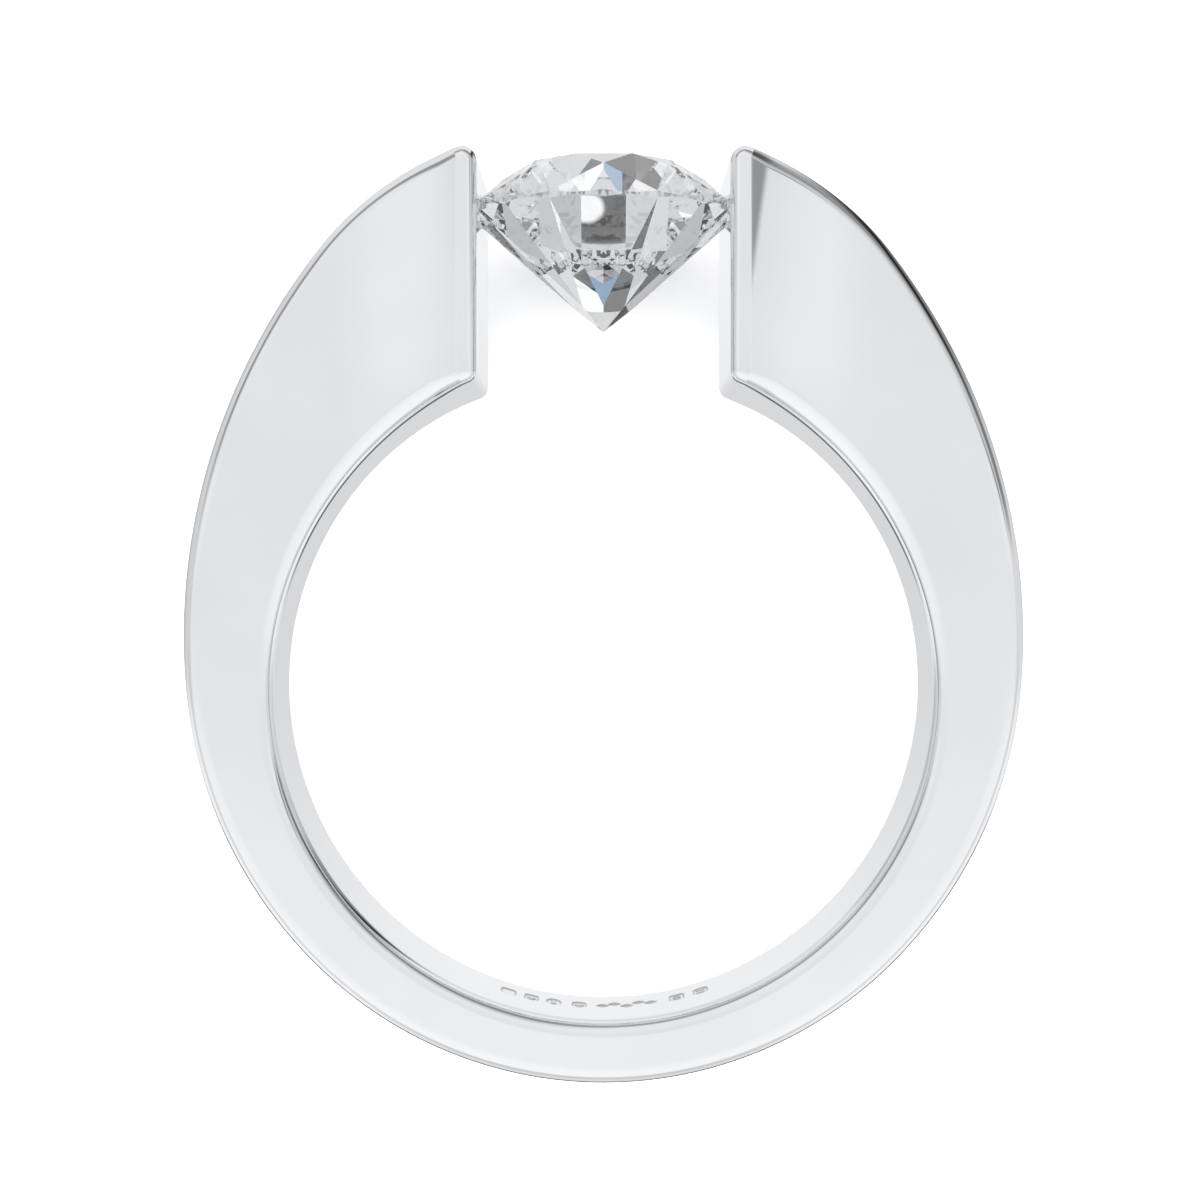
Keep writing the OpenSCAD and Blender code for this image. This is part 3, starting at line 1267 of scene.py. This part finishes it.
@dataclass(frozen=True)
class Studio:
    """Pale floor, soft light from all round, and the camera at the photograph's angle.

    Each of the dome's rises is the two cosines up the ring that it runs between, and what
    it adds to the level. The glow is placed by that cosine and by its degrees above the
    ring's plane, and the patch underneath by that cosine and the one along the finger.
    """

    floor_half: float = 0.9
    floor: PaleFloor = PaleFloor()
    room_level: float = 2.8
    dome_level: float = 0.87
    dome_rises: tuple[tuple[float, float, float], ...] = (
        (0.02, -0.24, 0.10), (-0.15, -0.8, 0.08), (0.25, 0.5, 0.04))
    glow_share: float = 0.06
    glow_up: tuple[float, float, float] = (0.06, 0.19, 0.03)
    glow_lift: tuple[float, float, float] = (32.0, 56.0, 8.0)
    under_level: float = 0.72
    under_rise: float = 0.24
    under_up: Pair = (-0.12, 0.2)
    under_along: Pair = (-0.965, -0.98)
    through_level: float = 0.68
    white: tuple[float, float, float, float] = (0.985, 0.99, 1.0, 1.0)
    blue: tuple[float, float, float, float] = (0.45, 0.75, 1.15, 1.0)
    bounces: int = 24
    lens_mm: float = 70.5
    camera_y: float = 3.326 * MM
    camera_z: float = 60.58 * MM
    vanishing_px: Pair = (603.5, 557.0)
    cards: tuple[Card, ...] = (
        Card((34.0, 166.0), 10.0, (3.0, 11.0), (18.0, 32.0), 0.57),
        Card((14.0, 84.0), 10.0, (0.0, 12.0), (26.0, 52.0), 0.30),
        Card((-175.0, -5.0), 5.0, (-10.0, -1.0), (8.0, 16.0), 0.24),
        Card((9.0, 33.0), 4.0, (-15.0, -6.0), (10.0, 18.0), 0.62),
        Card((42.0, 54.5), 6.75, (-56.0, -42.0), (5.0, 12.0), 0.97, lean=-0.4),
        Card((104.0, 144.0), 10.0, (-44.0, -34.0), (0.0, 8.0), 0.08),
        Card((34.0, 43.0), 6.0, (-17.0, -7.0), (0.0, 8.0), 0.70),
        Card((14.0, 44.0), 6.0, (-95.0, -90.0), (16.0, 26.0), 0.27),
        Card((24.0, 48.0), 5.0, (-60.0, -46.0), (-15.0, 1.0), 0.53),
        Card((-200.0, 200.0), 1.0, (-66.0, -54.0), (-44.0, -32.0), 0.12),
        Card((-155.0, -25.0), 8.0, (-84.0, -76.0), (-46.0, -36.0), 0.82),
        Card((-120.0, -62.0), 14.0, (-95.0, -90.0), (-2.0, 10.0), 0.24),
        Card((-8.0, 36.0), 5.0, (-95.0, -90.0), (20.0, 25.0), 0.17, on_left=True),
        Card((-8.0, 16.0), 5.0, (-95.0, -90.0), (20.0, 25.0), 0.12),
        Card((-8.0, 36.0), 5.0, (-95.0, -90.0), (-32.0, -20.0), 0.14, on_left=True),
        Card((8.0, 15.0), 0.7, (23.0, 26.0), (32.0, 44.0), 0.60, lean=0.7),
    )
    spots: tuple[Spot, ...] = (
        *spots_of(Shade.GREY, False,
                  (0.75, -0.27, 0.08, 0.08), (-0.75, -0.27, 0.08, 0.08), (0.4, -0.05, 0.06, 0.06),
                  (0.39, -0.22, 0.08, 0.08), (-0.21, -0.01, 0.05, 0.05)),
        *spots_of(Shade.BLACK, False,
                  (-0.2, 0.23, 0.05, 0.05), (-0.63, 0.12, 0.07, 0.07), (-0.62, -0.04, 0.05, 0.05),
                  (-0.2, -0.18, 0.05, 0.07), (0.27, -0.35, 0.05, 0.05), (-0.59, 0.48, 0.06, 0.06),
                  (0.0, -0.065, 0.03, 0.02), (0.0, -0.145, 0.02, 0.014), (0.72, 0.08, 0.03, 0.04)),
        *spots_of(Shade.BLACK, True,
                  (-0.77, 0.35, 0.06, 0.06), (0.2, -0.92, 0.04, 0.03), (0.46, -0.74, 0.05, 0.05),
                  (-0.4, -0.18, 0.05, 0.05)),
        *spots_of(Shade.WHITE, False,
                  (0.2, 0.23, 0.05, 0.05), (-0.008, 0.22, 0.008, 0.03),
                  (-0.007, -0.147, 0.007, 0.006), (0.76, 0.27, 0.05, 0.05),
                  (0.62, -0.04, 0.05, 0.05), (0.59, 0.48, 0.06, 0.06), (0.89, -0.3, 0.05, 0.05)),
        *spots_of(Shade.WHITE, True,
                  (0.39, -0.19, 0.05, 0.05), (-0.21, -0.91, 0.04, 0.03), (-0.46, -0.74, 0.05, 0.05),
                  (-0.77, 0.56, 0.05, 0.05)),
        *spots_of(Shade.BLUE, False,
                  (0.009, 0.22, 0.008, 0.03), (0.0, 0.152, 0.028, 0.028), (0.52, 0.84, 0.03, 0.03)),
        *spots_of(Shade.BLUE, True, (0.64, -0.04, 0.03, 0.03)),
    )

    def lay_floor(self) -> None:
        """Lay one large sheet, which neither the metal mirrors nor the stone shows."""
        half = self.floor_half
        mesh = bpy.data.meshes.new("floor")
        mesh.from_pydata([(-half, -half, 0.0), (half, -half, 0.0), (half, half, 0.0),
                          (-half, half, 0.0)], [], [(0, 1, 2, 3)])
        floor = bpy.data.objects.new("floor", mesh)
        bpy.context.scene.collection.objects.link(floor)
        floor.visible_glossy = False
        floor.visible_transmission = False
        mesh.materials.append(self.floor.material())

    def metal_light(self, tree: Tree, x: Sock, y: Sock, z: Sock) -> Sock:
        """Work out the light that the metal mirrors.

        A pale dome is brighter on the side of the finger's back and beyond the stone. It
        has a faint glow high above the ring, just on the stone's side, and is multiplied
        by what each card lets past. Straight underneath, a patch that is greyer towards
        the finger's back takes its place.

        Args:
            tree: the world's tree.
            x: the direction's cosine across the ring.
            y: the direction's cosine up the ring, from the finger's back to the stone.
            z: the direction's cosine along the finger.

        Returns:
            The light's level.
        """
        right = tree.maths("ARCTAN2", y, x) * DEGREES
        left = tree.maths("ARCTAN2", y, 0.0 - x) * DEGREES
        lift = tree.maths("ARCSINE", z) * DEGREES
        level: Value = self.dome_level
        for start, end, rise in self.dome_rises:
            level = level + rise * y.step(start, end)
        glow = y.window(*self.glow_up) * lift.window(*self.glow_lift)
        level = level * (1.0 + self.glow_share * glow)
        for card in self.cards:
            level = level * card.passed(right, left, lift)
        under = self.under_level + self.under_rise * y.step(*self.under_up)
        return level + z.step(*self.under_along) * (under - level)

    def stone_light(self, x: Sock, y: Sock, z: Sock) -> tuple[Value, Value]:
        """Work out the light that shows through the stone.

        It is level, but for the small patches that give the facets their contrast.

        Args:
            x: the direction's cosine across the ring.
            y: the direction's cosine up the ring.
            z: the direction's cosine along the finger.

        Returns:
            The light's level, and how blue it is from 0 to 1.
        """
        below = z.step(0.01, -0.01)
        level: Value = self.through_level
        blue: Value = 0.0
        for spot in self.spots:
            share = spot.share(x, y, below)
            level = level + share * (spot.shade.value - level)
            if spot.shade is Shade.BLUE:
                blue = blue + share
        return level, blue

    def light(self, place: Place) -> None:
        """Light the scene from the world.

        The camera sees plain white past the floor, the metal mirrors one light, another
        shows through the stone, and all else is lit evenly.

        Args:
            place: where the ring's axes stand.
        """
        world = bpy.data.worlds.new("soft_studio")
        bpy.context.scene.world = world
        world.use_nodes = True
        tree = Tree(world.node_tree)
        ray = tree.node("ShaderNodeTexCoord").outputs["Generated"]
        x, y, z = (tree.dot(ray, axis) for axis in place.axes)
        path = tree.node("ShaderNodeLightPath").outputs
        seen, mirrored, through = (Sock(tree, path[name]) for name in (
            "Is Camera Ray", "Is Glossy Ray", "Is Transmission Ray"))
        shown, blue = self.stone_light(x, y, z)
        sky = tree.mix(blue, self.white, self.blue)
        room = self.glow(tree, self.white, self.room_level + seen * (1.0 - self.room_level))
        metal = self.glow(tree, self.white, self.metal_light(tree, x, y, z))
        stone = self.glow(tree, sky, shown)
        for share, light in ((mirrored, metal), (through, stone)):
            blend = tree.node("ShaderNodeMixShader", {}, {0: share, 1: room, 2: light})
            room = blend.outputs["Shader"]
        tree.node("ShaderNodeOutputWorld", {}, {"Surface": room})

    @staticmethod
    def glow(tree: Tree, colour: Any, level: Value) -> bpy.types.NodeSocket:
        """Return a background of one colour and level."""
        back = tree.node("ShaderNodeBackground", {}, {"Color": colour, "Strength": level})
        return back.outputs["Background"]

    def place_camera(self, place: Place) -> None:
        """Stand the camera where the photograph was taken from.

        It looks straight along the finger hole's axis, and the shift puts that axis at
        the photograph's vanishing point.

        Args:
            place: where the ring's axes stand.
        """
        camera = bpy.data.cameras.new("camera")
        camera.sensor_width = 36.0
        camera.lens = self.lens_mm
        camera.shift_x = -(self.vanishing_px[0] - PHOTO_PX / 2) / PHOTO_PX
        camera.shift_y = (self.vanishing_px[1] - PHOTO_PX / 2) / PHOTO_PX
        camera.clip_start = 0.001
        camera.clip_end = 10.0
        stand = bpy.data.objects.new("camera", camera)
        stand.location = place.points(np.array([0.0, self.camera_y, self.camera_z]))
        stand.rotation_euler = (place.tilt(), 0.0, 0.0)
        bpy.context.scene.collection.objects.link(stand)
        bpy.context.scene.camera = stand

    def set_look(self) -> None:
        """Show colours as they are, and let light pass through the stone often enough."""
        bpy.context.scene.view_settings.view_transform = "Standard"
        cycles = bpy.context.scene.cycles
        cycles.max_bounces = self.bounces
        cycles.transmission_bounces = self.bounces
        cycles.glossy_bounces = self.bounces


def main() -> None:
    """Build the ring, its finishes and the studio."""
    logging.basicConfig(level=logging.INFO, format="%(name)s: %(message)s")
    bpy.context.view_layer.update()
    place = Place(frame["record"])
    band = Band().build(place)
    band.data.materials.append(PolishedMetal().material())
    log.info("band: %d points, %d faces", len(band.data.vertices), len(band.data.polygons))
    Stone().dress(frame["nodes"]["stone"], place)
    log.info("stone: dressed")
    studio = Studio()
    studio.lay_floor()
    studio.light(place)
    studio.place_camera(place)
    studio.set_look()
    log.info("studio: ready")


if __name__ == "__main__":
    main()
